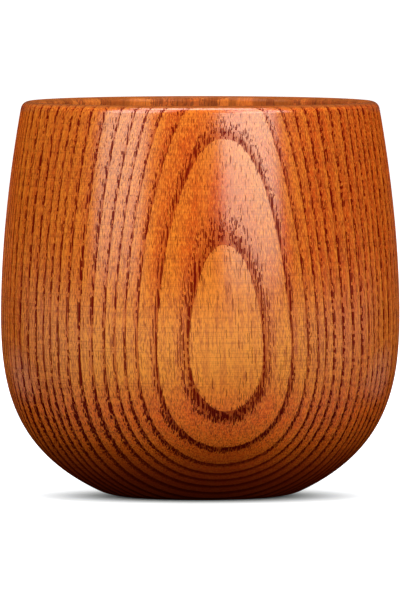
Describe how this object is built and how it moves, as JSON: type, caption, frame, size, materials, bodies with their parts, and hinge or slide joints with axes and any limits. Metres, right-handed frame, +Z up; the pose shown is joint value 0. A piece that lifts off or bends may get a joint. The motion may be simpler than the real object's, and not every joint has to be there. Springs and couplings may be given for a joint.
{
  "type": "wooden tumbler",
  "caption": "Round-bellied wooden drinking tumbler, turned in one piece with a rounded lip and a recessed foot, under a clear lacquer coat.",
  "frame": {"origin": "centre of the foot, on the surface that the tumbler stands on", "axes": "+Z up along the turning axis; -Y faces the viewer of the picture"},
  "size_m": [0.076, 0.076, 0.075],
  "materials": {
    "wood": "ring-porous wood, oiled where bare",
    "lacquer": "clear amber lacquer, satin gloss"
  },
  "bodies": {
    "root": {"turned_body": "wood", "lacquer_coat": "lacquer"}
  },
  "joints": []
}
